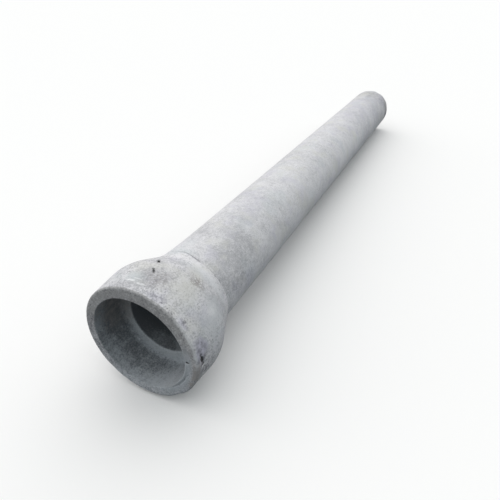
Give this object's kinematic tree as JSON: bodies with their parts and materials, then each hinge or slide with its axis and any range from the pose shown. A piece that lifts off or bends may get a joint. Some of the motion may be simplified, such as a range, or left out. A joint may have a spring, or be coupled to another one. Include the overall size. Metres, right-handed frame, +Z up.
{
  "type": "concrete sewer pipe",
  "caption": "Plain concrete bell-and-spigot sewer pipe lying on its side: a straight round barrel with a flared socket at one end and a plain spigot at the other.",
  "frame": {"origin": "on the floor, under the middle of the lying pipe's box", "axes": "+Z up from the floor; +X along the pipe on the floor, from the mouth of the bell towards the spigot; the pipe's own axis falls about 1.2 degrees towards +X, because it rests on the bell's crown and on the spigot's lower edge"},
  "size_m": [3.1262, 0.421, 0.421],
  "materials": {
    "concrete": "bare cast concrete, matt, light grey with darker mottling, small air holes and a worn rim"
  },
  "bodies": {
    "root": {"pipe": "concrete"}
  },
  "joints": []
}
